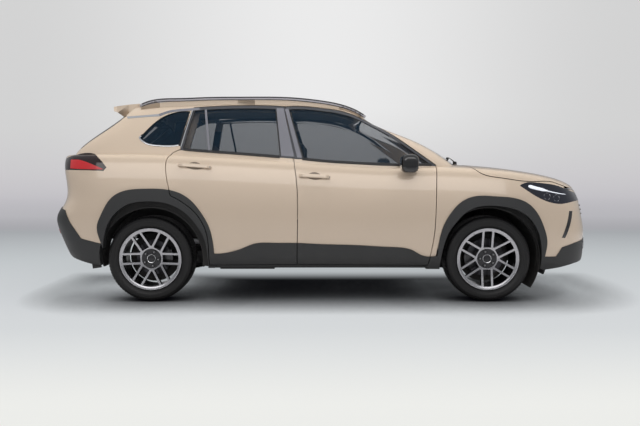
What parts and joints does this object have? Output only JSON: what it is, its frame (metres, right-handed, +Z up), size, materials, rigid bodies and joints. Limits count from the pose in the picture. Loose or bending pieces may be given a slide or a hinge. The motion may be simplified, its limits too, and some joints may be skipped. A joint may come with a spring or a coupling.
{
  "type": "crossover suv",
  "caption": "Five-door family crossover with opening doors, hood and tailgate, steered front wheels, hollow cabin, seats, arch cladding and roof rails.",
  "frame": {"origin": "centre of the car's outline on the ground, midway between its sides and its ends", "axes": "+X forwards, +Y to the car's left, +Z up"},
  "size_m": [4.4574, 2.028, 1.6206],
  "materials": {
    "underbody": "matt",
    "paint": "gloss",
    "glass": "polished",
    "cladding": "satin",
    "black_trim": "gloss",
    "lamp": "clear",
    "lamp_red": "clear",
    "rail": "satin",
    "cabin": "grained",
    "fabric": "woven",
    "engine": "matt",
    "steel": "satin",
    "alloy": "machined",
    "tyre": "matt"
  },
  "bodies": {
    "body_shell": {"floor_pan": "underbody", "bulkhead": "underbody", "cargo_floor": "underbody", "front_wheelhouses": "underbody", "rear_wheelhouses": "underbody", "body_side_left": "paint", "body_side_right": "paint", "roof_panel": "paint", "windscreen": "glass", "quarter_windows": "glass", "front_fenders": "paint", "front_bumper": "paint", "front_bumper_trim": "cladding", "front_grille": "black_trim", "headlamps": "lamp", "arch_trims_front": "cladding", "arch_trims_rear": "cladding", "rear_bumper": "paint", "rear_bumper_trim": "cladding", "tail_lamps": "lamp_red", "roof_rails": "rail", "cowl_panel": "cabin", "dashboard": "cabin", "front_seats": "fabric", "rear_bench": "fabric", "engine_block": "engine", "front_subframe": "steel", "rear_axle_beam": "steel", "exhaust_pipe": "steel", "fuel_tank": "underbody"},
    "front_door_left": {"door_front_left": "paint", "door_front_glass_left": "glass", "door_front_cladding_left": "cladding", "mirror_left": "black_trim"},
    "rear_door_left": {"door_rear_left": "paint", "door_rear_glass_left": "glass", "door_rear_cladding_left": "cladding"},
    "front_door_right": {"door_front_right": "paint", "door_front_glass_right": "glass", "door_front_cladding_right": "cladding", "mirror_right": "black_trim"},
    "rear_door_right": {"door_rear_right": "paint", "door_rear_glass_right": "glass", "door_rear_cladding_right": "cladding"},
    "hood_lid": {"hood": "paint"},
    "tailgate_lid": {"tailgate": "paint", "tailgate_glass": "glass", "rear_spoiler": "paint"},
    "steer_left": {"knuckle_left": "steel"},
    "steer_right": {"knuckle_right": "steel"},
    "steering_wheel_body": {"steering_wheel": "cabin"},
    "wheel_front_left": {"rim_front_left": "alloy", "tyre_front_left": "tyre"},
    "wheel_front_right": {"rim_front_right": "alloy", "tyre_front_right": "tyre"},
    "wheel_rear_left": {"rim_rear_left": "alloy", "tyre_rear_left": "tyre"},
    "wheel_rear_right": {"rim_rear_right": "alloy", "tyre_rear_right": "tyre"}
  },
  "joints": [
    {"name": "front_door_left_hinge", "type": "hinge", "parent": "body_shell", "child": "front_door_left", "pos_m": [0.878, 0.912, 0.6], "axis": [0, 0, -1], "range_deg": [0, 66]},
    {"name": "rear_door_left_hinge", "type": "hinge", "parent": "body_shell", "child": "rear_door_left", "pos_m": [-0.214, 0.912, 0.6], "axis": [0, 0, -1], "range_deg": [0, 68]},
    {"name": "front_door_right_hinge", "type": "hinge", "parent": "body_shell", "child": "front_door_right", "pos_m": [0.878, -0.912, 0.6], "axis": [0, 0, 1], "range_deg": [0, 66]},
    {"name": "rear_door_right_hinge", "type": "hinge", "parent": "body_shell", "child": "rear_door_right", "pos_m": [-0.214, -0.912, 0.6], "axis": [0, 0, 1], "range_deg": [0, 68]},
    {"name": "hood_hinge", "type": "hinge", "parent": "body_shell", "child": "hood_lid", "pos_m": [1.118, 0, 1.098], "axis": [0, -1, 0], "range_deg": [0, 55]},
    {"name": "tailgate_hinge", "type": "hinge", "parent": "body_shell", "child": "tailgate_lid", "pos_m": [-1.506, 0, 1.572], "axis": [0, 1, 0], "range_deg": [0, 80]},
    {"name": "steer_left_pivot", "type": "hinge", "parent": "body_shell", "child": "steer_left", "pos_m": [1.28, 0.735, 0.335], "axis": [0, 0, 1], "range_deg": [-34, 34]},
    {"name": "steer_right_pivot", "type": "hinge", "parent": "body_shell", "child": "steer_right", "pos_m": [1.28, -0.735, 0.335], "axis": [0, 0, 1], "range_deg": [-34, 34]},
    {"name": "steering_wheel_turn", "type": "hinge", "parent": "body_shell", "child": "steering_wheel_body", "pos_m": [0.43, 0.37, 0.905], "axis": [-0.9135, 0, 0.4067], "range_deg": [-510, 510]},
    {"name": "front_wheel_left_spin", "type": "hinge", "parent": "steer_left", "child": "wheel_front_left", "pos_m": [1.28, 0.78, 0.335], "axis": [0, 1, 0], "continuous": true},
    {"name": "front_wheel_right_spin", "type": "hinge", "parent": "steer_right", "child": "wheel_front_right", "pos_m": [1.28, -0.78, 0.335], "axis": [0, 1, 0], "continuous": true},
    {"name": "rear_wheel_left_spin", "type": "hinge", "parent": "body_shell", "child": "wheel_rear_left", "pos_m": [-1.36, 0.78, 0.335], "axis": [0, 1, 0], "continuous": true},
    {"name": "rear_wheel_right_spin", "type": "hinge", "parent": "body_shell", "child": "wheel_rear_right", "pos_m": [-1.36, -0.78, 0.335], "axis": [0, 1, 0], "continuous": true}
  ],
  "couplings": [
    {"joint": "steer_right_pivot", "follows": "steer_left_pivot", "ratio": 1},
    {"joint": "steering_wheel_turn", "follows": "steer_left_pivot", "ratio": 15}
  ]
}
